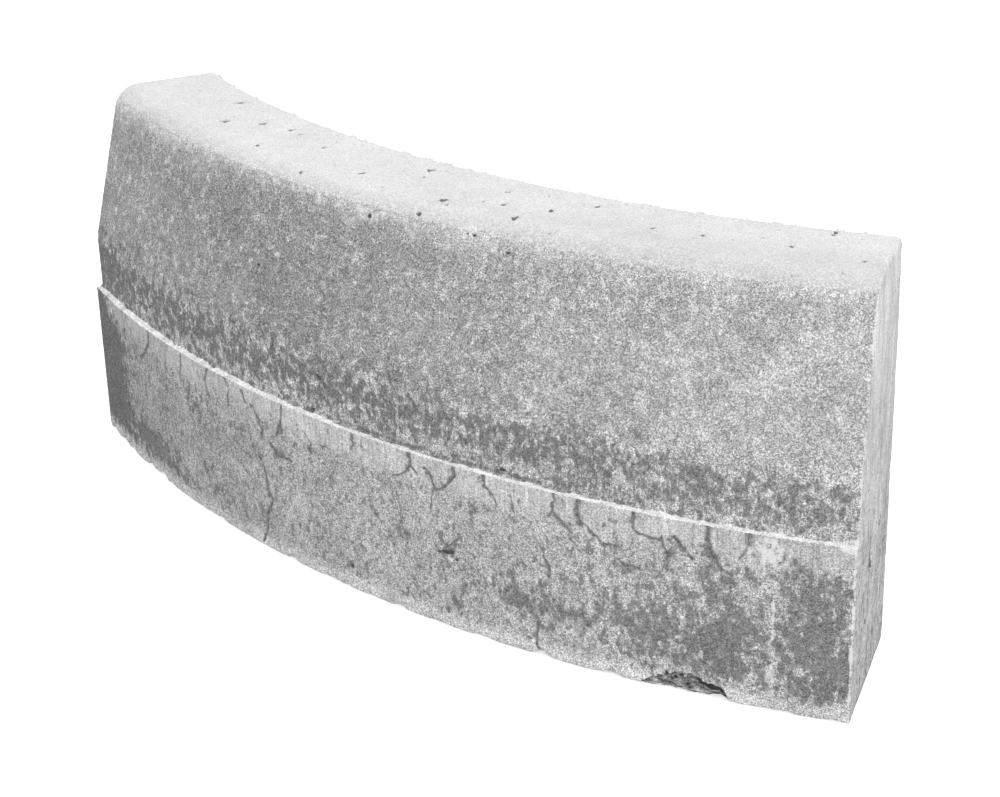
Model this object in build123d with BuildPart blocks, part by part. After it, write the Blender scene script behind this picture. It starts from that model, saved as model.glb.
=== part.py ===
from build123d import *
from math import asin, cos, degrees, radians, sin
import os

# Curved precast concrete kerb stone, an eighth of a circle in plan, cast in one piece.
# An upright foot carries a narrow ledge, an upright riser, a battered face and a
# bullnosed top edge. The section runs round the kerb line and is cut square to it at
# both ends. Millimetres: +X along the chord, -Y to the road, +Z up, with the origin on
# the bed face at the middle of the stone's plan rectangle.

# Plan of the foot's front face, along the kerb line
front_radius = 1000.0
front_arc_length = 780.0

# Section as a whole
stone_height = 300.0
base_width = 120.0

# Front face, from the bed up
foot_height = 130.0
ledge_setback = 5.0
ledge_rise = 1.0  # fall of the ledge towards the road
riser_height = 44.0
batter_setback = 30.0  # riser to the line where the batter would meet the top

# Rounds and eased edges
ledge_root_radius = 2.0
top_edge_radius = 21.0
arris_radius = 1.5

# The section's corners, as radii from the plan centre and heights over the bed
back_radius = front_radius - base_width
riser_radius = front_radius - ledge_setback
top_corner_radius = riser_radius - batter_setback
riser_foot_height = foot_height + ledge_rise
batter_foot_height = riser_foot_height + riser_height

# The middle of the front face reaches furthest forward, and the rounded back corners of
# the two ends reach furthest back: the plan centre lies behind, midway between the two.
arc_angle = degrees(front_arc_length / front_radius)
half_angle = arc_angle / 2
corner_centre_radius = back_radius + arris_radius
corner_centre_angle = radians(half_angle) - asin(arris_radius / corner_centre_radius)
rear_distance = corner_centre_radius * cos(corner_centre_angle) - arris_radius
plan_centre = Vector(0, (front_radius + rear_distance) / 2, 0)

# Plane of the left end: x points outwards from the plan centre, y up
left_end_plane = Plane(
    origin=plan_centre,
    x_dir=(-sin(radians(half_angle)), -cos(radians(half_angle)), 0),
    z_dir=(-cos(radians(half_angle)), sin(radians(half_angle)), 0),
)

with BuildPart() as kerb_stone:
    with BuildSketch(left_end_plane) as section:
        with BuildLine() as section_outline:
            FilletPolyline(
                (back_radius, 0),
                (front_radius, 0),
                (front_radius, foot_height),
                (riser_radius, riser_foot_height),
                (riser_radius, batter_foot_height),
                (top_corner_radius, stone_height),
                (back_radius, stone_height),
                radius=(0, 0, 0, ledge_root_radius, 0, top_edge_radius, 0),
                close=True,
            )
        make_face()
    revolve(axis=Axis(plan_centre, (0, 0, 1)), revolution_arc=arc_angle)

    # Ease the arrises round both ends, and the long ones at the ledge, the bed and the back
    end_faces = kerb_stone.faces().filter_by(GeomType.PLANE).filter_by(Plane.XY, reverse=True)
    plan_arcs = kerb_stone.edges().filter_by(GeomType.CIRCLE).filter_by(Plane.XY)
    arcs_by_radius = plan_arcs.group_by(SortBy.RADIUS)
    fillet(end_faces.edges() + arcs_by_radius[0] + arcs_by_radius[-1], arris_radius)

kerb_stone.part.label = "kerb_stone"

os.makedirs("parts", exist_ok=True)
export_step(kerb_stone.part, "parts/kerb_stone.step")

print(f"plan centre {plan_centre.Y:.3f} mm behind the origin, arc {arc_angle:.3f} degrees")
print(f"volume {kerb_stone.part.volume:.0f} mm3")
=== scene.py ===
import bpy
import bmesh
import math
import numpy as np
from mathutils import Matrix, Vector, noise


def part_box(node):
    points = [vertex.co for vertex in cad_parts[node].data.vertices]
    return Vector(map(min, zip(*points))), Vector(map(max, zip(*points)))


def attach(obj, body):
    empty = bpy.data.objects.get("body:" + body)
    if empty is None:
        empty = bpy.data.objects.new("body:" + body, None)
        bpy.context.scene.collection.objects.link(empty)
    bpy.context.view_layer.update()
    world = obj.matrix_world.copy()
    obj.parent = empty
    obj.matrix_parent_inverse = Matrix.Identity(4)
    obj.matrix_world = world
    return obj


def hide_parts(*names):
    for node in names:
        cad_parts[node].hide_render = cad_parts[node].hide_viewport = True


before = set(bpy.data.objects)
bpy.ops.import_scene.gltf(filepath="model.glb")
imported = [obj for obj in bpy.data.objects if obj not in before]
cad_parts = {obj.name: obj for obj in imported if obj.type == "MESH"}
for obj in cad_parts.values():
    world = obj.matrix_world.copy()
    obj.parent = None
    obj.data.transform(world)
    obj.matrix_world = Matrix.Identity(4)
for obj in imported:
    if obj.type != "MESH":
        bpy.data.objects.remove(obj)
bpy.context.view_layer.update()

from types import SimpleNamespace

mm = 0.001

# the cast form, in metres
stone = {
    "frontRadius": 1.0,  # plan radius of the foot's front face
    "arcLength": 0.780,
    "height": 0.300,
    "baseWidth": 0.120,
    "footHeight": 0.130,
    "ledgeSetback": 0.005,
    "ledgeRise": 0.001,
    "riserHeight": 0.044,
    "batterSetback": 0.030,
    "bullnose": 0.021,
    "ledgeRoot": 0.002,
    "kinkRound": 0.040,
    "arris": 0.0015,
    "frontStep": 0.0046,  # mesh spacing on each face before the worn places are refined
    "topStep": 0.0050,
    "backStep": 0.0080,
    "bedStep": 0.0080,
    "alongStep": 0.0048,
    "endStep": 0.0060,
    "faceSlack": 0.0005,  # an edge this near to a face counts as lying on it
}
stone["centreY"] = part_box("kerb_stone")[0].y + stone["frontRadius"]  # the plan arc's centre lies behind
stone["halfAngle"] = stone["arcLength"] / stone["frontRadius"] / 2

# the form's limits in millimetres, which wear and marks are placed by
topUp = stone["height"] / mm
ledgeUp = stone["footHeight"] / mm
backOut = -stone["baseWidth"] / mm
endAlong = stone["arcLength"] / mm / 2


def smooth(x, start, full):  # a soft step, 0 at start and 1 at full, whichever is the larger
    share = np.clip((x - start) / (full - start), 0, 1)
    return share * share * (3 - 2 * share)


def band(x, start, full, fading, gone):  # a soft step up and a soft step down again
    return smooth(x, start, full) * smooth(x, gone, fading)


def bell(x, middle, half):
    return np.exp(-((x - middle) / half) ** 2)


def spots(places, along, up):
    total = np.zeros_like(along)
    for middle, height, halfLength, halfHeight, strength in places:
        total += strength * bell(along, middle, halfLength) * bell(up, height, halfHeight)
    return total


def kerbCoords(points):  # millimetres along the kerb line, out from the foot's face and up from the bed
    x, y, z = np.asarray(points).T
    along = np.arctan2(x, stone["centreY"] - y) * stone["frontRadius"]
    out = np.hypot(x, y - stone["centreY"]) - stone["frontRadius"]
    return along / mm, out / mm, z / mm


def frontOut(up):  # where the front face stands at each height
    root = stone["footHeight"] + stone["ledgeRise"]
    kink = root + stone["riserHeight"]
    ledge = stone["ledgeSetback"]
    heights = np.array((0, stone["footHeight"], root, kink, stone["height"]))
    setbacks = np.array((0, 0, ledge, ledge, ledge + stone["batterSetback"]))
    return np.interp(up, heights / mm, -setbacks / mm)


def topUpAt(out):  # the bullnose falls away towards the road
    bullnose = stone["bullnose"] / mm
    overNose = np.clip(out - frontOut(topUp) + bullnose, 0, None)
    return topUp - overNose ** 2 / (2 * bullnose)


def onFootFace(out, up):
    return (np.abs(out) < 2) & (up > 1)


def noiseAt(points, waves, shift):
    return np.array([noise.noise(Vector(p) * waves + Vector((shift, -shift, 2 * shift))) for p in points])


def roundCorner(bm, vert, radius, segments):
    a, b = [(e.other_vert(vert).co - vert.co) for e in vert.link_edges]
    offset = radius * math.tan((math.pi - a.angle(b)) / 2)
    bmesh.ops.bevel(bm, geom=[vert], offset=offset, offset_type="OFFSET", segments=segments,
                    profile=0.5, affect="VERTICES", material=-1, clamp_overlap=False)


def drawSection(bm):
    back = stone["frontRadius"] - stone["baseWidth"]
    riser = stone["frontRadius"] - stone["ledgeSetback"]
    root = stone["footHeight"] + stone["ledgeRise"]
    corners = (  # radius from the plan centre, height, round, segments
        (back, 0, stone["arris"], 3),
        (stone["frontRadius"], 0, stone["arris"], 3),
        (stone["frontRadius"], stone["footHeight"], stone["arris"] / 2, 2),
        (riser, root, stone["ledgeRoot"], 3),
        (riser, root + stone["riserHeight"], stone["kinkRound"], 4),
        (riser - stone["batterSetback"], stone["height"], stone["bullnose"], 10),
        (back, stone["height"], stone["arris"], 3),
    )
    verts = [bm.verts.new((0, stone["centreY"] - radius, height)) for radius, height, _, _ in corners]
    bm.faces.new(verts)
    for vert, (_, _, radius, segments) in zip(verts, corners):
        roundCorner(bm, vert, radius, segments)
    for edge in list(bm.edges):
        middle = (edge.verts[0].co + edge.verts[1].co) / 2
        step = stone["frontStep"]
        if stone["centreY"] - middle.y < back + stone["faceSlack"]:
            step = stone["backStep"]
        elif middle.z < stone["faceSlack"]:
            step = stone["bedStep"]
        elif middle.z > stone["height"] - stone["faceSlack"]:
            step = stone["topStep"]
        cuts = int(edge.calc_length() / step)
        if cuts:
            bmesh.ops.subdivide_edges(bm, edges=[edge], cuts=cuts)
    bmesh.ops.delete(bm, geom=list(bm.faces), context="FACES_ONLY")


def sweepSection(bm):
    centre = Vector((0, stone["centreY"], 0))
    half = stone["halfAngle"] - stone["arris"] / (stone["frontRadius"] - stone["baseWidth"] / 2)
    steps = round(stone["arcLength"] / stone["alongStep"])
    bmesh.ops.rotate(bm, verts=bm.verts, cent=centre, matrix=Matrix.Rotation(-half, 3, "Z"))
    bmesh.ops.spin(bm, geom=bm.verts[:] + bm.edges[:], cent=centre, axis=(0, 0, 1), dvec=(0, 0, 0),
                   angle=2 * half, steps=steps, use_merge=False, use_duplicate=False)
    bmesh.ops.remove_doubles(bm, verts=bm.verts, dist=1e-6)
    caps = bmesh.ops.holes_fill(bm, edges=[e for e in bm.edges if e.is_boundary], sides=0)["faces"]
    bmesh.ops.recalc_face_normals(bm, faces=bm.faces)
    slope = math.radians(45)  # each end arris is rounded in two steps
    arris = stone["arris"]
    bmesh.ops.inset_region(bm, faces=caps, thickness=arris * (1 - math.cos(slope)),
                           depth=arris * math.sin(slope), use_boundary=True, use_even_offset=True)
    bmesh.ops.inset_region(bm, faces=caps, thickness=arris * math.cos(slope),
                           depth=arris * (1 - math.sin(slope)), use_boundary=True, use_even_offset=True)
    return caps


def gridEnds(bm, caps):
    step = stone["endStep"]
    centre = Vector((0, stone["centreY"], 0))
    for cap in caps:
        side = 1 if cap.calc_center_median().x > 0 else -1
        outward = Vector((side * math.sin(stone["halfAngle"]), -math.cos(stone["halfAngle"]), 0))
        geom = [cap] + cap.edges[:] + cap.verts[:]
        cuts = [(Vector((0, 0, row * step)), Vector((0, 0, 1)))
                for row in range(1, round(stone["height"] / step))]
        cuts += [(centre + outward * (stone["frontRadius"] - row * step), outward)
                 for row in range(1, round(stone["baseWidth"] / step))]
        for place, normal in cuts:
            geom = bmesh.ops.bisect_plane(bm, geom=geom, dist=1e-6, plane_co=place, plane_no=normal)["geom"]


# worn and broken places, in millimetres: along the kerb line, out from the foot's face, up from the bed
wear = {
    "skin": 0.25,  # the cast skin lies this far inside the solid, with its roughness about it
    "roughness": ((0.018, 0.09, 3.1), (0.085, 0.08, 10.1), (0.30, 0.07, 17.1)),  # waves, height, shift
    "chips": ((0.05, 11), (0.17, 23), 0.6, 0.12),  # two noises' waves and shifts, second's share, sound part
    "burrs": ((0.13, 37), (0.41, 41), 0.7, 0.15),
    "burrHeight": 0.2,  # the most that a burr stands proud of a worn edge
    "edges": {  # depth all along, more for chips, more for burrs, greatest depth, reach from the edge
        "foot": (0, 1.8, 0.8, 3, 3.5),
        "back": (1.5, 0, -4, 2, 4),
        "ledge": (0, 1.2, 0, 2, 2.5),
        "end": (0.05, 1.3, 0, 2, 3),
    },
    "endRamp": (-380, 380),  # the right end is worn more than the left
    "cornerDig": (1.3, 8),  # the right end's top corner at the back: depth, reach
    "arrisDig": (0.9, 5),  # the upper arris of the right end: depth, reach
    "arrisRamps": ((300, 380), (230, 290)),  # where that sets in and is full, along and up
    "bites": (  # along, half width, height bitten out of the lower front edge
        (-378, 9, 1.6), (-352, 8, 1.8), (-330, 6, 1.2), (-292, 7, 2.4), (-270, 8, 3.6), (-252, 5, 1.4),
        (-174, 11, 1.2), (-75, 4, 2.0), (-30, 9, 0.8), (40, 5, 2.2), (118, 7, 0.9), (166, 6, 2.6),
        (222, 7, 1.2), (330, 8, 1.0), (345, 5, 1.4),
    ),
    "biteReach": 9,
    # a piece broken off the foot, right of the middle: its upper rim, and how deep it goes at the bed
    "spallRim": (
        (242, 0), (245, 3), (253, 9), (266, 13.5), (273, 13), (285, 14.5), (292, 11), (302, 9.5), (307, 2.5),
        (309, 0),
    ),
    "spallDepth": (
        (243, 0), (254, 1.2), (263, 2.6), (272, 3.4), (279, 2.8), (291, 3.6), (299, 4.2), (304, 2), (308, 0),
    ),
    "spallInset": 0.8,  # the whole patch goes in by this much more
    "spallReach": 24,  # how far in from the foot's face it fades out
    "spallFront": (-24, -14),
    "spallLump": ((277, 3, 5, 3, 0.5),),  # a stone left standing: along, up, half length, half height, share
    "rimShadeBand": (0.1, 0.7, 1.0, 2.2),  # painted shade sets in, is full, thins and ends this far under the rim
    "cornerShade": (0.3, 1.2, 4.5, 8),
    "cornerShadeAlong": (294, 11),
    "pits": (  # along, out, up, radius, depth
        (-2, -31, 284, 2.6, 2.2), (89, -32, 289, 2.0, 1.5), (95, -32, 288.5, 2.4, 1.8),
        (125, -30, 282, 2.0, 1.5), (-38, -5, 161, 2.2, 2.0), (-44.5, -4.5, 133.5, 2.2, 1.6),
        (135, -5, 134.5, 1.7, 1.5), (-115.5, -17, 225, 1.8, 1.4), (80.5, 0, 58.4, 2.4, 1.5),
        (85, 0, 59.3, 3.2, 2.4), (90, 0, 60.2, 3.4, 2.8), (96, 0, 56, 2.2, 1.6), (-6, 0, 19, 2.4, 0.9),
        (390, -50, 102, 5.0, 1.8), (390, -51, 97, 6.5, 2.4), (390, -51, 92, 5.0, 1.8),
    ),
    "pitSquash": 1.7,  # pits on the front are wider than tall
    "pitSoilAndShade": (0.2, 1.4),  # pits from the first depth to the second hold more and more dirt and painted shade
    "topPits": (  # along, out, radius, depth
        (-237, -67, 2.8, 1.9), (-209, -86.5, 2.6, 1.8), (-160, -51, 2.0, 1.2), (-228, -34, 1.6, 0.9),
        (-211, -42, 1.8, 1.2), (-207, -36, 1.6, 1.0), (-177, -93, 1.8, 1.1), (-161, -93, 1.6, 0.9),
        (-117, -85, 2.0, 1.2), (-88, -42.5, 2.2, 1.6), (-83, -115, 1.6, 0.9), (-43, -62.5, 2.0, 1.4),
        (-21, -45.5, 1.6, 0.9), (-6, -99.5, 2.4, 1.6), (1, -85, 1.6, 0.9), (42, -38.5, 2.0, 1.4),
        (51, -55, 2.4, 1.5), (58, -49.5, 1.8, 1.1), (78, -93, 1.8, 1.0), (77, -67.5, 1.8, 1.0),
        (93, -69.5, 1.8, 1.1), (101, -37, 1.8, 1.1), (117, -52, 2.2, 1.4), (131, -75.5, 1.8, 1.1),
        (157, -98.5, 2.2, 1.5), (215, -77.5, 1.6, 0.9), (229, -38.5, 1.6, 0.9), (242, -48.5, 1.6, 0.9),
        (254, -76.5, 1.8, 1.0), (319, -78, 1.8, 1.2), (323, -43, 2.0, 1.2), (340, -108, 1.8, 1.2),
        (341, -113, 2.0, 1.3), (361, -39.5, 1.8, 1.1), (373, -64.5, 1.6, 0.9), (-278, -100, 2.0, 1.2),
        (-330, -75, 1.6, 0.8), (-370, -83, 1.6, 0.8),
    ),
    "topPitsAbove": 291,
    "topPitWiden": 1.35,
    "topPitStretch": 0.75,
    "topPitSoilAndShade": 0.75,
    "crackDepth": 0.5,
    "longestEdge": (2.6, 1.4, 0.75),  # each refinement halves the edges longer than this
    "edgeReach": (12, 7, 2.3),  # how far each refinement reaches from an edge, a pit and a crack
    "pitReach": (6, 3.5, 1.8),
    "crackReach": (-0.9, -0.2, 0.0),
    "reachShares": {"back": 0.7, "ledge": 0.8, "end": 0.6},  # of the edge's reach
    "spallBox": (237, 313, 18),  # refined from, to, and this far up and in
    "endFront": -60,  # the ends' arrises are refined in front of this
    "limeFront": -8,
}


def nearCrack(along, up, waver=0):  # 1 on a crack's line, 0 at its edge and less beyond
    near = np.full_like(along, -9.0)
    for width, *points in marks["cracks"]:
        for leg, (start, end) in enumerate(zip(points, points[1:])):
            runAlong, runUp = end[0] - start[0], end[1] - start[1]
            passed = (along - start[0]) * runAlong + (up - start[1]) * runUp
            share = np.clip(passed / (runAlong ** 2 + runUp ** 2), 0, 1)
            gap = np.hypot(along - start[0] - share * runAlong, up - start[1] - share * runUp)
            taper = 1 - marks["crackTaper"] * (leg + share) / len(points)  # wide under the ledge
            near = np.maximum(near, 1 - gap / (marks["crackWiden"] * width * taper * (1 + waver)))
    return near


def pitPlaces():
    widen = wear["topPitWiden"]
    onTop = [(along, out, topUpAt(out), widen * radius, depth)
             for along, out, radius, depth in wear["topPits"]]
    return wear["pits"] + tuple(onTop)


def refineWornPlaces(bm):
    shares = wear["reachShares"]
    spallFrom, spallTo, spallSize = wear["spallBox"]
    ledgeMiddle = (-stone["ledgeSetback"] / mm / 2, ledgeUp + stone["ledgeRise"] / mm / 2)
    for level, longest in enumerate(wear["longestEdge"]):
        edges = bm.edges[:]
        along, out, up = kerbCoords([(e.verts[0].co + e.verts[1].co) / 2 for e in edges])
        length = np.array([e.calc_length() for e in edges]) / mm
        reach = wear["edgeReach"][level]
        near = np.hypot(out, up) < reach
        near |= np.hypot(out - backOut, up - topUp) < reach * shares["back"]
        if level < 2:
            near |= np.hypot(out - ledgeMiddle[0], up - ledgeMiddle[1]) < reach * shares["ledge"]
            near |= (endAlong - np.abs(along) < reach * shares["end"]) & (out > wear["endFront"])
            near |= (along > spallFrom) & (along < spallTo) & (up < spallSize) & (out > -spallSize)
            near |= (spots(marks["limeAndHighlight"], along, up) > 0.12) & (out > wear["limeFront"])
        for pitAlong, pitOut, pitUp, radius, _ in pitPlaces():
            gap = np.sqrt((along - pitAlong) ** 2 + (out - pitOut) ** 2 + (up - pitUp) ** 2)
            near |= gap < radius + wear["pitReach"][level]
        near |= (nearCrack(along, up) > wear["crackReach"][level]) & onFootFace(out, up)
        chosen = [e for e, isNear, size in zip(edges, near, length) if isNear and size > longest]
        bmesh.ops.subdivide_edges(bm, edges=chosen, cuts=1, use_grid_fill=True)


def flakes(points, kind):  # 0 on sound concrete, up to 1 where a bit has come away
    (waves, shift), (fineWaves, fineShift), fineShare, sound = wear[kind]
    flaked = noiseAt(points, waves, shift) + fineShare * noiseAt(points, fineWaves, fineShift)
    return np.clip(flaked - sound, 0, 1)


def readPoints(mesh):  # each point's place, with the noises that roughen it
    count = len(mesh.vertices)
    co, normal = np.empty(count * 3), np.empty(count * 3)
    mesh.vertices.foreach_get("co", co)
    mesh.vertex_normals.foreach_get("vector", normal)
    at = SimpleNamespace(co=co.reshape(-1, 3), normal=normal.reshape(-1, 3))
    at.along, at.out, at.up = kerbCoords(at.co)
    points = at.co / mm
    at.coarse, at.medium, at.fine = [noiseAt(points, waves, shift) for waves, _, shift in wear["roughness"]]
    at.chips, at.burrs = flakes(points, "chips"), flakes(points, "burrs")
    sectionGap = np.minimum.reduce((at.up, topUp - at.up, at.out - backOut, frontOut(at.up) - at.out))
    at.edgeGap = {
        "foot": np.hypot(at.out, at.up),
        "back": np.hypot(at.out - backOut, at.up - topUp),
        "ledge": np.hypot(at.out, at.up - ledgeUp),
        "end": np.hypot(endAlong - np.abs(at.along), np.clip(sectionGap, 0, None)),
    }
    return at


def wearEdges(at):  # how deep the skin and the edges are worn
    rough = zip(wear["roughness"], (at.coarse, at.medium, at.fine))
    dig = wear["skin"] - sum(height * waves for (_, height, _), waves in rough)
    dig *= smooth(at.up, 0, 1)  # the bed stays flat
    shares = {"end": smooth(at.along, *wear["endRamp"])}
    for name, (plain, chipped, burred, most, reach) in wear["edges"].items():
        depth = np.clip(plain + chipped * at.chips + burred * at.burrs, -wear["burrHeight"], most)
        dig += depth * smooth(at.edgeGap[name], reach, 0) * shares.get(name, 1)
    depth, reach = wear["cornerDig"]
    corner = np.sqrt((at.along - endAlong) ** 2 + (at.out - backOut) ** 2 + (at.up - topUp) ** 2)
    dig += depth * smooth(corner, reach, 0)
    depth, reach = wear["arrisDig"]
    alongRamp, upRamp = wear["arrisRamps"]
    upperRight = smooth(at.along, *alongRamp) * smooth(at.up, *upRamp)
    dig += depth * smooth(at.edgeGap["end"], reach, 0) * upperRight * (1 + at.medium)
    return dig


def digPits(at):  # how deep the pits are, and how much dirt and painted shade they hold, with painted shade under the back edge's burrs
    hole, soilAndShade = np.zeros_like(at.along), np.zeros_like(at.along)
    ragged = 1 + 0.6 * at.fine + 0.4 * at.medium
    for pitAlong, pitOut, pitUp, radius, depth in pitPlaces():
        onTop = pitUp > wear["topPitsAbove"]
        across = (wear["topPitStretch"] if onTop else 1) * (at.out - pitOut)
        height = wear["pitSquash"] * (at.up - pitUp)
        gap = np.sqrt((at.along - pitAlong) ** 2 + across ** 2 + height ** 2) * ragged
        cup = np.sqrt(np.clip(1 - (gap / radius) ** 2, 0, 1))
        hole = np.maximum(hole, depth * cup)
        held = (wear["topPitSoilAndShade"] if onTop else 1) * smooth(depth, *wear["pitSoilAndShade"])
        soilAndShade = np.maximum(soilAndShade, held * cup)
    # painted shade under the burrs along the back edge
    burrShade = smooth(at.burrs, 0.3, 0.55) * smooth(at.edgeGap["back"], 2.5, 0.5)
    return hole, np.maximum(soilAndShade, 0.7 * burrShade)


def breakFoot(at):  # how far up it is bitten, how far in it is broken, and how far under the patch's rim
    along, up, medium, fine = at.along, at.up, at.medium, at.fine
    bite = np.zeros_like(along)
    for middle, half, height in wear["bites"]:
        bite = np.maximum(bite, height * bell(along, middle, half) * (1 + 0.6 * medium + 0.6 * fine))
    bite *= smooth(at.edgeGap["foot"], wear["biteReach"], 0)
    rim = np.interp(along, *zip(*wear["spallRim"])) * (1 + 0.25 * medium + 0.2 * fine)
    under = np.clip(rim - up, 0, None)
    fall = 0.45 * smooth(under, 0, 1.5) + 0.55 * under / np.maximum(rim, 1)
    strata = 0.22 * np.sin(1.9 * up + 5 * medium)
    deep = np.interp(along, *zip(*wear["spallDepth"])) + wear["spallInset"]
    uneven = 1 + 0.4 * medium + 0.35 * fine + strata - spots(wear["spallLump"], along, up)
    hollow = deep * fall * uneven * np.clip(1 + at.out / wear["spallReach"], 0, 1)
    return bite, 0.5 * bite + hollow, under * smooth(at.out, *wear["spallFront"])


def wearSurface(mesh, at):
    hole, soilAndShade = digPits(at)
    wander = (at.along + 2 * at.medium + at.fine, at.up + 1.5 * at.fine)
    crack = np.clip(nearCrack(*wander, 0.5 * at.medium + 0.6 * at.fine), 0, 1) * onFootFace(at.out, at.up)
    bite, inward, under = breakFoot(at)
    dig = wearEdges(at) + hole + wear["crackDepth"] * smooth(crack, 0.3, 0.9)
    at.co -= at.normal * (dig * mm)[:, None]
    turn = at.along * mm / stone["frontRadius"]
    at.co[:, 0] -= np.sin(turn) * inward * mm
    at.co[:, 1] += np.cos(turn) * inward * mm
    at.co[:, 2] = np.clip(at.co[:, 2] + bite * mm, 0, stone["height"])
    mesh.vertices.foreach_set("co", at.co.ravel())
    mesh.update()
    # painted shade under the broken patch's overhanging rim, deepest in its right corner
    cornerShade = bell(at.along, *wear["cornerShadeAlong"]) * band(under, *wear["cornerShade"])
    return {
        "crack": crack,
        "pit": soilAndShade,
        "broken": smooth(under, 0.1, 0.8),
        "rimShade": np.maximum(0.6 * band(under, *wear["rimShadeBand"]), cornerShade),
    }


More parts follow.
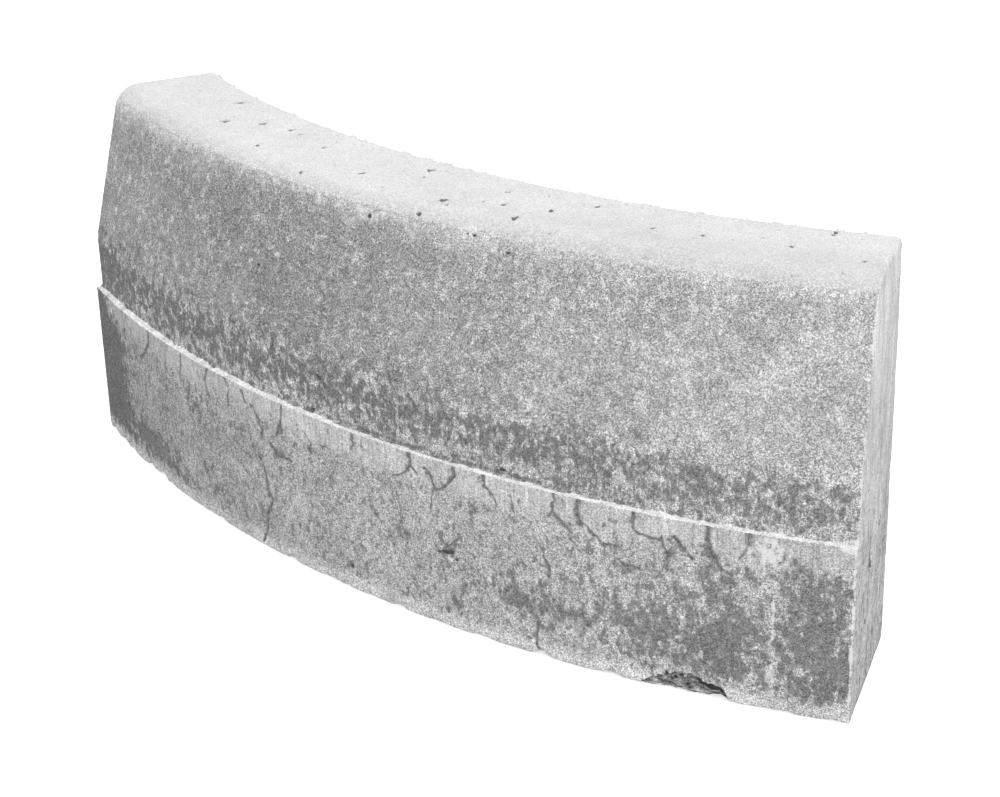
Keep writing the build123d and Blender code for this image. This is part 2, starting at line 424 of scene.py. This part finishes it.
# stains and cracks on the front face, in millimetres
marks = {
    "stains": (  # along, up, half length, half height, strength
        (-384, 60, 30, 58, 0.75), (-368, 80, 20, 26, 0.45), (-352, 45, 16, 22, 0.55),
        (-340, 96, 14, 16, 0.25),
        (-300, 33, 14, 12, 0.45), (-283, 27, 16, 9, 0.60), (-264, 22, 14, 9, 0.55), (-243, 21, 14, 8, 0.50),
        (-218, 21, 18, 6, 0.35), (-256, 102, 12, 12, 0.28), (-207, 106, 6, 8, 0.35),
        (-196, 90, 14, 10, 0.40),
        (-168, 116, 4, 4, 0.35), (-168, 27, 12, 7, 0.42), (-150, 28, 8, 6, 0.25), (-126, 107, 5, 4, 0.40),
        (-103, 22, 6, 12, 0.30), (-95, 44, 6, 6, 0.45), (-69, 86, 7, 5, 0.55), (-84, 85, 9, 3, 0.40),
        (-50, 47, 5, 4, 0.35), (-39, 31, 8, 4, 0.25), (-29, 113, 4, 2, 0.30), (-6, 19, 4, 3, 0.60),
        (52, 101, 4, 3, 0.45), (50, 64, 7, 5, 0.40), (69, 44, 6, 3, 0.40), (86, 60, 10, 5, 0.55),
        (98, 72, 7, 5, 0.35), (96, 24, 7, 8, 0.60), (110, 98, 5, 4, 0.40), (126, 92, 4, 3, 0.40),
        (132, 60, 12, 6, 0.25), (148, 40, 13, 8, 0.55), (164, 117, 4, 3, 0.45), (168, 80, 4, 4, 0.35),
        (182, 97, 4, 3, 0.40), (165, 58, 8, 6, 0.30), (188, 66, 7, 5, 0.35), (174, 37, 18, 9, 0.58),
        (200, 95, 7, 5, 0.40), (196, 40, 14, 9, 0.30), (216, 116, 4, 3, 0.45), (232, 117, 3, 4, 0.45),
        (223, 100, 6, 4, 0.40), (222, 48, 16, 11, 0.40), (228, 89, 8, 3, 0.35), (246, 78, 10, 5, 0.35),
        (245, 42, 20, 14, 0.40), (263, 105, 5, 8, 0.40), (274, 68, 10, 8, 0.30), (286, 42, 30, 22, 0.64),
        (287, 88, 8, 6, 0.35), (293, 113, 5, 6, 0.60), (300, 82, 14, 12, 0.35), (312, 56, 22, 26, 0.40),
        (318, 98, 9, 7, 0.40), (345, 113, 9, 5, 0.55), (359, 117, 4, 5, 0.65), (352, 62, 16, 34, 0.42),
        (372, 90, 18, 18, 0.50), (376, 40, 14, 34, 0.50), (360, 20, 16, 10, 0.40), (310, 23, 22, 9, 0.40),
        (302, 96, 16, 9, 0.25), (125, 42, 44, 18, 0.26), (-262, 29, 34, 10, 0.34), (235, 26, 30, 8, 0.26),
        (240, 55, 26, 10, 0.20), (310, 52, 20, 12, 0.12), (240, 100, 30, 8, 0.12), (-20, 78, 50, 8, 0.08),
        (-258, 38, 36, 8, 0.14), (-10, 36, 44, 6, 0.14), (-140, 80, 40, 10, 0.08),
    ),
    "rootDirtAndShade": (  # dark dirt and painted shade lying in the ledge's root crease: along, half length, strength
        (-47, 4, 0.9), (-18, 10, 0.4), (15, 22, 0.5), (62, 16, 0.4), (112, 12, 0.5), (132, 10, 0.7),
        (147, 9, 0.6), (157, 6, 0.3), (196, 3, 0.7), (236, 3, 0.6), (-120, 3, 0.5), (270, 6, 0.4),
    ),
    "rootUp": (132.4, 1.3),  # its height and half thickness
    "ledgeWidth": ((-390, 5.6), (-100, 4.1), (0, 3.0), (100, 3.0), (250, 3.7)),  # along, width swept clean and painted bright
    "crackWiden": 1.3,
    "crackTaper": 0.45,
    "cracks": (  # width, then points along and up
        (2.0, (-271, 128), (-273, 116), (-281, 107), (-290, 101)),
        (1.7, (-213.5, 128), (-216, 117), (-217, 107)),
        (1.9, (-173, 129), (-178, 117), (-176, 110), (-171, 103)),
        (1.5, (-149, 129), (-145, 119), (-145, 109), (-148, 105)),
        (1.5, (-125, 126), (-122, 117)),
        (1.5, (-115, 117), (-105, 109), (-103, 100), (-104, 93)),
        (2.4, (-77, 129), (-78, 115), (-79, 110), (-84, 102)),
        (1.5, (-79, 110), (-76, 108)),
        (1.1, (-53, 114), (-44, 108), (-44, 100)),
        (1.0, (-34, 109), (-24, 110)),
        (1.8, (-108, 77), (-101, 65), (-98, 48), (-95, 44), (-101, 30), (-103, 17), (-109, 3)),
        (1.8, (-90, 92), (-84, 85), (-67, 86)),
        (1.7, (1, 128), (0, 116)),
        (1.8, (57, 129), (57, 120), (52, 113), (45, 109), (39, 107)),
        (1.5, (57, 120), (62, 114)),
        (1.7, (69, 121), (74, 117), (77, 108), (75, 100), (74, 91)),
        (1.8, (95, 128), (97, 122), (90, 114), (82, 108), (77, 107)),
        (1.1, (79, 88), (82, 85)),
        (1.4, (90, 66), (98, 74), (101, 75)),
        (1.7, (122, 129), (122, 121), (126, 119), (131, 113), (131, 108)),
        (1.1, (143, 119), (146, 113), (146, 107)),
        (1.7, (177, 129), (177, 115), (185, 109), (191, 104)),
        (1.4, (177, 115), (173, 111)),
        (1.5, (168, 80), (174, 72), (175, 65)),
        (1.8, (164, 24), (162, 12), (165, 2)),
        (1.8, (197, 129), (197, 114), (205, 108), (215, 100), (224, 101)),
        (1.4, (228, 91), (235, 88), (243, 88)),
        (1.8, (238, 129), (238, 115), (247, 113), (259, 112)),
        (1.7, (258, 115), (262, 105), (262, 95)),
        (1.7, (268, 117), (274, 108), (281, 103)),
        (2.2, (290, 129), (290, 120), (290, 112)),
        (4.6, (290, 113), (293, 110)),
        (1.6, (293, 109), (297, 104), (304, 97)),
        (2.0, (319, 129), (318, 120), (313, 110)),
    ),
    "limeAndHighlight": (  # white runs: along, up, half length, half height, strength
        (332, 123, 12, 11, 0.85), (331, 110, 9, 8, 0.6), (335, 95, 5, 6, 0.55), (336, 80, 2.4, 8, 0.85),
        (336, 60, 1.8, 9, 0.85), (336, 36, 2.2, 9, 0.9), (330, 38, 2.4, 5, 0.45), (337, 18, 2.4, 8, 0.80),
        (338, 5, 4, 5, 0.55), (-344, 16, 2.0, 7, 0.75), (-350, 122, 5, 5, 0.5), (90.5, 55, 2.8, 2.2, 1.4),
        (127, 63, 2, 2, 0.8), (124, 49, 2, 2, 0.8), (312, 97, 2.2, 2, 0.9), (218, 77, 2.5, 2, 0.7),
        (288, 34, 2.4, 6, 0.6), (285, 52, 2, 4, 0.5), (301, 18, 3, 3, 0.6), (384, 130, 8, 4, 1.2),
        (380, 148, 1.6, 16, 0.5), (-115, 174, 2, 9, 0.4), (20, 178, 2.4, 2.4, 0.7), (24, 182, 2, 2, 0.6),
    ),
}

# what each layer of tone adds along the face: a ramp is its strength, then where it sets in and is full,
# first along (None for all of it) and then up, and a spot is written as in the marks
endless = math.inf  # for a spot that takes up the whole length or height
layers = {
    "footVeil": {"base": 0.06, "ramps": ((-0.045, (-400, -280), (100, 118)),)},
    "riserVeil": {"base": 0.145, "ramps": ((-0.02, (-390, 390)),)},
    "batterVeil": {
        "base": 0.215,
        "ramps": ((-0.095, (0, 340)),),
        "spots": ((-100, 0, 130, endless, 0.025), (240, 262, 45, 20, 0.045)),
    },
    "noseLine": {"ramps": ((-11, (0, 380)),), "spots": ((-140, 0, 70, endless, -5),)},
    "filmLine": {"ramps": ((7, (150, 300)), (-6, (330, 365))), "spots": ((-70, 0, 130, endless, -3),)},
    "riserFilm": {"base": 0.72, "ramps": ((-0.11, (-390, 390)), (0.28, (-290, -380)))},
    "riserPatches": {
        "ramps": ((-0.09, (330, 362)),),
        "spots": ((310, 158, 30, 9, 0.12), (0, 174.5, endless, 5, -0.2)),
    },
    "footFilm": {
        "base": 0.06,
        "ramps": (
            (0.12, (-150, -300)),
            (0.12, (120, 330), (10, 25), (116, 90)),
            (0.05, (335, 350), (10, 25), (112, 90)),
            (0.15, (340, 372), (10, 25), (112, 94)),
        ),
    },
    "footFilmTone": {"ramps": ((-0.05, (-285, -345)),)},
    "riserFilmTone": {"ramps": ((0.025, (50, 300)),)},
    "footGround": {
        "ramps": (
            (-0.05, (0, -340)),
            (0.02, (150, 260)),
            (0.06, (-280, -350), (18, 8)),
            (0.085, None, (16, 6)),
            (-0.0425, (320, 370), (16, 6)),
            (0.05, None, (106, 118)),
            (-0.08, (150, 380), (106, 118)),
        ),
        "spots": ((-130, 76, 180, 18, -0.035),),
    },
    "batterGround": {"ramps": ((-0.035, (0, 340), (131, 140), (290, 276)),)},
    "topGround": {"ramps": ((-0.03, (-80, 200), (284, 292)),)},
}


def layerSum(name, at):
    layer = layers[name]
    total = layer.get("base", 0) + spots(layer.get("spots", ()), at.along, at.up)
    for strength, alongRamp, *upRamps in layer.get("ramps", ()):
        part = np.full_like(at.along, strength)
        if alongRamp:
            part *= smooth(at.along, *alongRamp)
        for ramp in upRamps:
            part *= smooth(at.up, *ramp)
        total += part
    return total


def paintVeil(at, onFoot):  # a thin grey bloom
    foot = layerSum("footVeil", at) * (0.15 + 0.85 * smooth(at.up, 5, 16))
    riser, batter = layerSum("riserVeil", at), layerSum("batterVeil", at)
    return np.where(onFoot, foot, riser + (batter - riser) * smooth(at.up, 167, 184))


def paintFilm(at, onFoot):  # a dark skin of dirt with a hard edge
    along, up = at.along, at.up
    rise = up + layerSum("filmLine", at)
    riser = layerSum("riserFilm", at)
    riser *= 1 - 0.4 * bell(along, 40, 130) * smooth(up, 147, 134)
    riser *= smooth(rise, 202, 155) * (0.62 + 0.38 * smooth(up, 133, 152))
    riser += layerSum("riserPatches", at) - 0.6 * smooth(rise, 170, 222)  # it thins out up the batter

    # thick at the left end, torn on the right, and thin where the ledge shelters the foot
    shelter = 1 - 0.8 * smooth(up, 106, 125) * smooth(along, -385, -330)
    stains = spots(marks["stains"], along, up)
    slant = along + 0.3 * (up - 50)
    foot = stains + layerSum("footFilm", at)
    foot += 0.75 * smooth(slant, -295, -365) + 0.22 * smooth(along, -315, -365) * bell(up, 62, 36)
    foot *= shelter * (0.3 + 0.7 * smooth(up, 5, 15))
    foot -= 0.12 * smooth(up - 4 * smooth(along, 150, 300), 102, 118) + 0.15 * smooth(up, 16, 5)
    foot *= 1 - smooth(along, -290, -350) * smooth(up, 24, 6)
    film = np.where(onFoot, foot + 0.8 * stains * (1 - shelter), riser)
    # dark dirt and painted shade along the ledge's root crease
    for middle, half, strength in marks["rootDirtAndShade"]:
        film += strength * bell(along, middle, half) * bell(up, *marks["rootUp"]) * (1 + at.medium)
    return film


def paintGround(at, front, ends, onFoot):  # the bare concrete's own tone
    foot = concrete["footBare"] + layerSum("footGround", at)
    upper = concrete["bare"] + layerSum("topGround", at) * smooth(at.out, -90, -60)
    upper += 0.07 * ends * smooth(at.up, 190, 290) + front * layerSum("batterGround", at)
    return np.where(front & onFoot, foot, upper)


def paintLedge(at):  # swept clean, with a painted highlight
    width = np.interp(at.along, *zip(*marks["ledgeWidth"])) * (1 + 0.35 * at.medium + 0.25 * at.fine)
    ledge = band(at.up, ledgeUp - 0.5, ledgeUp, ledgeUp + 1, ledgeUp + 2)
    return ledge * smooth(-at.out, width + 0.7, width - 0.7) * (1.15 + 0.5 * at.medium)


def paintMarks(mesh, at, worn):
    along, up = at.along, at.up
    front = (at.out > frontOut(up) - 1.5) & (up > 0.5) & (np.abs(along) < endAlong - 1)
    ends = np.abs(along) > endAlong - 1.1
    onFoot = up < ledgeUp + 0.4
    damp = 0.02 + 0.10 * smooth(up, 220, 20)  # it rises from the ground on the back and the ends
    # a painted highlight along the right end's front arris, which is also worn bare
    arris = bell(np.abs(along), endAlong - 1, 1.2) * (1 + 0.8 * at.medium) * smooth(along, 0, 300)
    limeAndHighlightMask = np.clip(spots(marks["limeAndHighlight"], along, up), 0, 1) + (0.75 + 0.45 * onFoot) * arris
    footTone = concrete["film"] + layerSum("footFilmTone", at)
    riserTone = concrete["riserFilm"] + layerSum("riserFilmTone", at)
    frontRough = 1 - 0.35 * smooth(up, 100, 118) * onFoot - 0.18 * smooth(up, 170, 190)
    frontFilm = paintFilm(at, onFoot) * (1 - 0.8 * worn["broken"])
    attributes = {
        "veil": np.where(front, paintVeil(at, onFoot), damp),
        "ground": paintGround(at, front, ends, onFoot),
        "nose": 1.6 * np.where(front | ends, smooth(up + layerSum("noseLine", at), 304, 259), up < 298),
        "film": np.where(front, frontFilm, damp - 0.45 * smooth(up, 100, 250)),
        "filmTone": np.where(onFoot, footTone, riserTone),
        "drip": np.where(front, band(up, 131.5, 134, 142, 168), 0),
        "comb": np.where(front, 0.8 * smooth(up, 104, 116) * onFoot + 0.1, ends),
        "smear": 0.5 * ends,
        "limeAndHighlight": np.where(front, limeAndHighlightMask, 0.5 * arris),
        "cleanAndHighlight": np.where(front, paintLedge(at), 0),
        "rough": np.where(front, frontRough, 0.6) * (1 - 0.48 * smooth(up, 288, 297)),
        **worn,
    }
    for name, values in attributes.items():
        layer = mesh.attributes.new(name, "FLOAT", "POINT")
        layer.data.foreach_set("value", values.astype(np.float32))
    print("marks painted:", ", ".join(attributes))


def buildStone():
    bm = bmesh.new()
    drawSection(bm)
    caps = sweepSection(bm)
    gridEnds(bm, caps)
    refineWornPlaces(bm)
    for face in bm.faces:
        face.smooth = True
    mesh = bpy.data.meshes.new("kerbStone")
    bm.to_mesh(mesh)
    bm.free()
    at = readPoints(mesh)
    worn = wearSurface(mesh, at)
    paintMarks(mesh, at, worn)
    piece = bpy.data.objects.new("kerbStone", mesh)
    bpy.context.scene.collection.objects.link(piece)
    mesh.calc_loop_triangles()
    print("stone mesh:", len(mesh.vertices), "points,", len(mesh.loop_triangles), "triangles")
    return piece


def addNode(tree, kind, inputs=None, **settings):
    made = tree.nodes.new(kind)
    for name, value in settings.items():
        setattr(made, name, value)
    for name, value in (inputs or {}).items():
        if isinstance(value, bpy.types.NodeSocket):
            tree.links.new(value, made.inputs[name])
        else:
            made.inputs[name].default_value = value
    return made


def calc(tree, operation, a, b=0.0):
    return addNode(tree, "ShaderNodeMath", {0: a, 1: b}, operation=operation).outputs[0]


def blend(tree, *parts):  # a weighted sum
    total = None
    for socket, weight in parts:
        part = calc(tree, "MULTIPLY", socket, weight)
        total = part if total is None else calc(tree, "ADD", total, part)
    return total


def mixTone(tree, amount, a, b):
    return addNode(tree, "ShaderNodeMix", {0: amount, 2: a, 3: b}, data_type="FLOAT").outputs[0]


def remap(tree, value, low, high, toLow=0.0, toHigh=1.0):
    return addNode(tree, "ShaderNodeMapRange", {0: value, 1: low, 2: high, 3: toLow, 4: toHigh},
                   interpolation_type="SMOOTHSTEP").outputs[0]


def stretched(tree, vector, upScale):  # below 1 draws a pattern out upwards, above 1 layers it
    return addNode(tree, "ShaderNodeMapping", {"Vector": vector, "Scale": (1, 1, upScale)}).outputs[0]


def noiseTex(tree, vector, scale, detail, roughness):  # a noise about 0
    cloud = addNode(tree, "ShaderNodeTexNoise", {"Vector": vector, "Scale": scale, "Detail": detail,
                                                "Roughness": roughness}).outputs[0]
    return calc(tree, "SUBTRACT", cloud, 0.5)


def readMark(tree, name):
    return addNode(tree, "ShaderNodeAttribute", attribute_name=name).outputs["Fac"]


def newGroup(name, outputs):
    group = bpy.data.node_groups.new(name, "ShaderNodeTree")
    group.interface.new_socket("Place", in_out="INPUT", socket_type="NodeSocketVector")
    for label in outputs:
        group.interface.new_socket(label, in_out="OUTPUT", socket_type="NodeSocketFloat")
    place = group.nodes.new("NodeGroupInput").outputs["Place"]
    return group, place, group.nodes.new("NodeGroupOutput").inputs


# lightness as the eye reads it, from 0 for black to 1 for white
concrete = {
    "bare": 0.795,
    "footBare": 0.712,
    "film": 0.475,
    "riserFilm": 0.45,
    # the tone of lime runs and of the painted arris highlight
    "limeAndHighlight": 0.87,
    "sand": 0.98,
    # the swept ledge's tone, with its painted highlight
    "ledge": 0.92,
    "crack": 0.44,
    "pit": 0.30,
    "broken": 0.52,
    # the painted shade under the broken patch's rim
    "rimShade": 0.20,
    "darkest": 0.08,
    "gamma": 2.2,  # from lightness to the shader's own colour
    "roughness": 0.92,
    "gloss": 0.25,
    "bump": (0.0005, 0.4),  # height in metres, strength
    "sandScale": 1500.0,
    "clouds": {  # scale, detail, roughness
        "Fine": (430, 1, 0.5),
        "Mottle": (210, 2, 0.5),
        "Patch": (75, 2, 0.5),
        "Cloud": (22, 2, 0.5),
        "Fleck": (140, 4, 0.60),
        "Tear": (150, 3, 0.8),
    },
    "tearStretch": 0.75,
    "dots": {  # scale, share of cells left plain, size
        "Speck": (190.0, 0.78, 0.22),
        "Pore": (150.0, 0.80, 0.17),
    },
    "veilFray": (0.08, 1.25),  # where each mark's edge lies on its painted strength and noise
    "filmEdge": (0.43, 0.58),
    "crackEdge": (0.22, 0.58),
    "limeAndHighlightEdge": (0.30, 0.85),
    "cleanAndHighlightEdge": (0.25, 0.80),
    "pitEdge": (0.25, 0.65),
    "rimShadeEdge": (0.2, 0.6),
}


def makeGrainGroup():  # sand grains, cement mottle and slow clouds of tone, each about 0
    clouds = concrete["clouds"]
    group, place, out = newGroup("sandGrain", ("Grain", *clouds))
    cells = addNode(group, "ShaderNodeTexVoronoi", {"Vector": place, "Scale": concrete["sandScale"]})
    speck = addNode(group, "ShaderNodeSeparateColor", {0: cells.outputs["Color"]}).outputs[0]
    group.links.new(calc(group, "SUBTRACT", speck, 0.5), out["Grain"])
    tall = stretched(group, place, concrete["tearStretch"])
    for label, settings in clouds.items():
        group.links.new(noiseTex(group, tall if label == "Tear" else place, *settings), out[label])
    return group


def makeSpeckGroup():  # white sand specks and small dark pores, few to a patch
    group, place, out = newGroup("speckAndPore", concrete["dots"])
    for label, (scale, plainShare, size) in concrete["dots"].items():
        cells = addNode(group, "ShaderNodeTexVoronoi", {"Vector": place, "Scale": scale})
        pick = addNode(group, "ShaderNodeSeparateColor", {0: cells.outputs["Color"]}).outputs
        chosen = calc(group, "GREATER_THAN", pick[0], plainShare)
        radius = calc(group, "MULTIPLY", calc(group, "ADD", pick[1], 0.3), size)
        spot = calc(group, "DIVIDE", cells.outputs["Distance"], radius)
        group.links.new(calc(group, "MULTIPLY", remap(group, spot, 1.0, 0.4), chosen), out[label])
    return group


def makeConcrete(grainGroup, speckGroup):
    look = concrete
    material = bpy.data.materials.new("castConcrete")
    material.use_nodes = True
    tree = material.node_tree
    shader = tree.nodes["Principled BSDF"]
    place = addNode(tree, "ShaderNodeTexCoord").outputs["Object"]
    texture = {}
    for group in (grainGroup, speckGroup):
        placed = addNode(tree, "ShaderNodeGroup", node_tree=group)
        tree.links.new(place, placed.inputs["Place"])
        texture.update({socket.name: socket for socket in placed.outputs})
    grain, fine, mottle, patch, cloud = [texture[n] for n in ("Grain", "Fine", "Mottle", "Patch", "Cloud")]
    fleck, tear, speck, pore = [texture[n] for n in ("Fleck", "Tear", "Speck", "Pore")]
    names = ("veil", "ground", "nose", "film", "filmTone", "drip", "comb", "smear", "limeAndHighlight", "cleanAndHighlight", "rough",
             "crack", "pit", "broken", "rimShade")
    marked = {n: readMark(tree, n) for n in names}

    def add(a, b):
        return calc(tree, "ADD", a, b)

    def times(a, b):
        return calc(tree, "MULTIPLY", a, b)

    def cover(name, most, *parts):  # a painted mark with its edge broken up by noise
        frayed = remap(tree, add(marked[name], blend(tree, *parts)), *look[name + "Edge"])
        return times(times(frayed, remap(tree, marked[name], 0.0, 0.2)), most)

    # cement skin under its grey veil, which is worn off in flecks and frays out over the bullnose
    fray = remap(tree, add(marked["nose"], blend(tree, (grain, 0.4), (fleck, 3.6))), *look["veilFray"])
    bias = times(calc(tree, "SUBTRACT", 0.225, marked["veil"]), 2.5)
    flecks = add(blend(tree, (grain, 0.45), (fleck, 3.6)), bias)
    kept = remap(tree, flecks, 0.05, 0.72, 1.0, 0.28)
    level = calc(tree, "SUBTRACT", marked["ground"], times(times(marked["veil"], fray), kept))
    ragged = blend(tree, (grain, 0.46), (fine, 0.08), (mottle, 0.09), (patch, 0.18), (cloud, 0.20))
    level = add(level, times(ragged, marked["rough"]))
    streaks = noiseTex(tree, stretched(tree, place, 0.07), 620, 2, 0.6)
    level = add(level, times(times(streaks, marked["comb"]), 0.40))
    smears = noiseTex(tree, stretched(tree, place, 0.16), 85, 3, 0.65)  # left by a trowel on the ends
    level = add(level, times(smears, marked["smear"]))

    # dark film, washed off in drips over the ledge
    run = remap(tree, add(streaks, 0.5), 0.50, 0.66)
    washed = times(times(run, marked["drip"]), 0.35)
    torn = add(marked["film"], blend(tree, (grain, 0.45), (tear, 4.0)))
    filmCover = remap(tree, calc(tree, "SUBTRACT", torn, washed), *look["filmEdge"])
    filmGrain = blend(tree, (grain, 0.28), (fine, 0.1), (mottle, 0.1), (patch, 0.08))
    level = mixTone(tree, filmCover, level, add(filmGrain, marked["filmTone"]))

    # cracks, lime runs and the painted arris highlight, the swept ledge with its painted highlight, sand
    # specks, and pits with their dirt and painted shade
    cracked = cover("crack", 0.95, (grain, 0.6), (fine, 0.9), (tear, 2.0))
    level = mixTone(tree, cracked, level, add(blend(tree, (grain, 0.3), (mottle, 0.2)), look["crack"]))
    # lime runs, and the painted highlight along the right end's arris
    limeAndHighlightMask = cover("limeAndHighlight", 0.9, (grain, 0.3), (fine, 0.8), (mottle, 1.8), (patch, 1.2))
    level = mixTone(tree, limeAndHighlightMask, level, look["limeAndHighlight"])
    # the ledge swept clean, with a painted highlight brighter than bare concrete
    cleanedAndHighlit = cover("cleanAndHighlight", 0.95, (fine, 0.6), (mottle, 0.8), (patch, 0.7))
    sweptHighlightTone = add(blend(tree, (grain, 0.2), (fine, 0.2), (mottle, 0.3), (patch, 0.3)), look["ledge"])
    level = mixTone(tree, cleanedAndHighlit, level, sweptHighlightTone)
    level = mixTone(tree, times(speck, 0.35), level, look["sand"])
    level = mixTone(tree, times(pore, 0.35), level, look["pit"])
    # dirt and painted shade in the pits and under the back edge's burrs
    level = mixTone(tree, cover("pit", 0.8, (fine, 0.8), (mottle, 0.6)), level, look["pit"])

    # broken faces show layered rubble, with painted shade under the overhanging rim
    rubbleLayers = noiseTex(tree, stretched(tree, place, 3), 130, 2, 0.6)
    rubble = add(blend(tree, (grain, 0.3), (mottle, 0.9), (rubbleLayers, 1.3)), look["broken"])
    level = mixTone(tree, marked["broken"], level, rubble)
    level = mixTone(tree, cover("rimShade", 0.85, (fine, 0.6), (mottle, 0.8)), level, look["rimShade"])

    tone = calc(tree, "POWER", calc(tree, "MAXIMUM", level, look["darkest"]), look["gamma"])
    color = addNode(tree, "ShaderNodeCombineColor", {0: tone, 1: tone, 2: tone}).outputs[0]
    tree.links.new(color, shader.inputs["Base Color"])
    shader.inputs["Roughness"].default_value = look["roughness"]
    shader.inputs["Specular IOR Level"].default_value = look["gloss"]
    relief = blend(tree, (grain, 0.3), (fine, 0.6), (mottle, 1.2))
    height = calc(tree, "SUBTRACT", relief, times(pore, 1.5))
    distance, strength = look["bump"]
    bump = addNode(tree, "ShaderNodeBump", {"Height": height, "Distance": distance, "Strength": strength})
    tree.links.new(bump.outputs[0], shader.inputs["Normal"])
    print("concrete:", len(tree.nodes), "nodes")
    return material


studio = {
    "lens": 78.09,
    "sensor": 36,
    "aim": (0.0, -0.032812, 0.150),
    "yaw": -0.73342,
    "pitch": 0.41494,
    "roll": -0.02510,
    "distance": 1.58877,
    "slide": (-0.06812, 0.01343),
    "skyStrength": 0.50,
    "lampAim": (0, 0, 0.12),
    "lamps": (  # name, place, width, power
        ("overheadSoftbox", (-0.2, 0.2, 3.0), 4.0, 100.0),
        ("sideSoftbox", (2.4, -1.9, 1.0), 1.6, 33.0),
    ),
    "floorSize": 8,
    "floorDrop": 0.0003,  # just clear of the stone's bed
    "floorTone": 0.80,
    "floorGlow": 0.55,  # seen by the camera only, so that the paper stays white
}


def placeCamera():
    yaw, pitch, roll = studio["yaw"], studio["pitch"], studio["roll"]
    ahead = Vector((math.sin(yaw) * math.cos(pitch), math.cos(yaw) * math.cos(pitch), -math.sin(pitch)))
    across = Vector((math.cos(yaw), -math.sin(yaw), 0))
    upward = across.cross(ahead)
    across, upward = (math.cos(roll) * across + math.sin(roll) * upward,
                      math.cos(roll) * upward - math.sin(roll) * across)
    data = bpy.data.cameras.new("camera")
    data.lens = studio["lens"]
    data.sensor_width = studio["sensor"]
    data.sensor_fit = "HORIZONTAL"
    camera = bpy.data.objects.new("camera", data)
    bpy.context.scene.collection.objects.link(camera)
    slideAcross, slideUp = studio["slide"]
    place = Vector(studio["aim"]) - ahead * studio["distance"] - across * slideAcross - upward * slideUp
    camera.matrix_world = Matrix.Translation(place) @ Matrix((across, upward, -ahead)).transposed().to_4x4()
    bpy.context.scene.camera = camera
    print("camera:", studio["lens"], "mm lens")


def lightStudio():
    world = bpy.data.worlds.new("softSky")
    bpy.context.scene.world = world
    world.use_nodes = True
    sky = world.node_tree.nodes["Background"]
    sky.inputs["Color"].default_value = (1, 1, 1, 1)
    sky.inputs["Strength"].default_value = studio["skyStrength"]
    for name, place, width, power in studio["lamps"]:
        lamp = bpy.data.lights.new(name, "AREA")
        lamp.size = width
        lamp.energy = power
        box = bpy.data.objects.new(name, lamp)
        box.location = place
        box.rotation_euler = (Vector(studio["lampAim"]) - Vector(place)).to_track_quat("-Z", "Y").to_euler()
        bpy.context.scene.collection.objects.link(box)
    bpy.context.scene.view_settings.view_transform = "Standard"
    print("lamps:", len(studio["lamps"]))


def layFloor():
    bm = bmesh.new()
    bmesh.ops.create_grid(bm, x_segments=1, y_segments=1, size=studio["floorSize"])
    mesh = bpy.data.meshes.new("floor")
    bm.to_mesh(mesh)
    bm.free()
    floor = bpy.data.objects.new("floor", mesh)
    floor.location.z = -studio["floorDrop"]
    bpy.context.scene.collection.objects.link(floor)
    paper = bpy.data.materials.new("whitePaper")
    paper.use_nodes = True
    tree = paper.node_tree
    shader = tree.nodes["Principled BSDF"]
    shader.inputs["Base Color"].default_value = (studio["floorTone"],) * 3 + (1,)
    shader.inputs["Roughness"].default_value = 1.0
    shader.inputs["Emission Color"].default_value = (1, 1, 1, 1)
    seen = addNode(tree, "ShaderNodeLightPath").outputs["Is Camera Ray"]
    tree.links.new(calc(tree, "MULTIPLY", seen, studio["floorGlow"]), shader.inputs["Emission Strength"])
    mesh.materials.append(paper)
    print("floor laid")


piece = buildStone()
cast = makeConcrete(makeGrainGroup(), makeSpeckGroup())
piece.data.materials.append(cast)
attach(piece, "root")
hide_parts("kerb_stone")
placeCamera()
lightStudio()
layFloor()
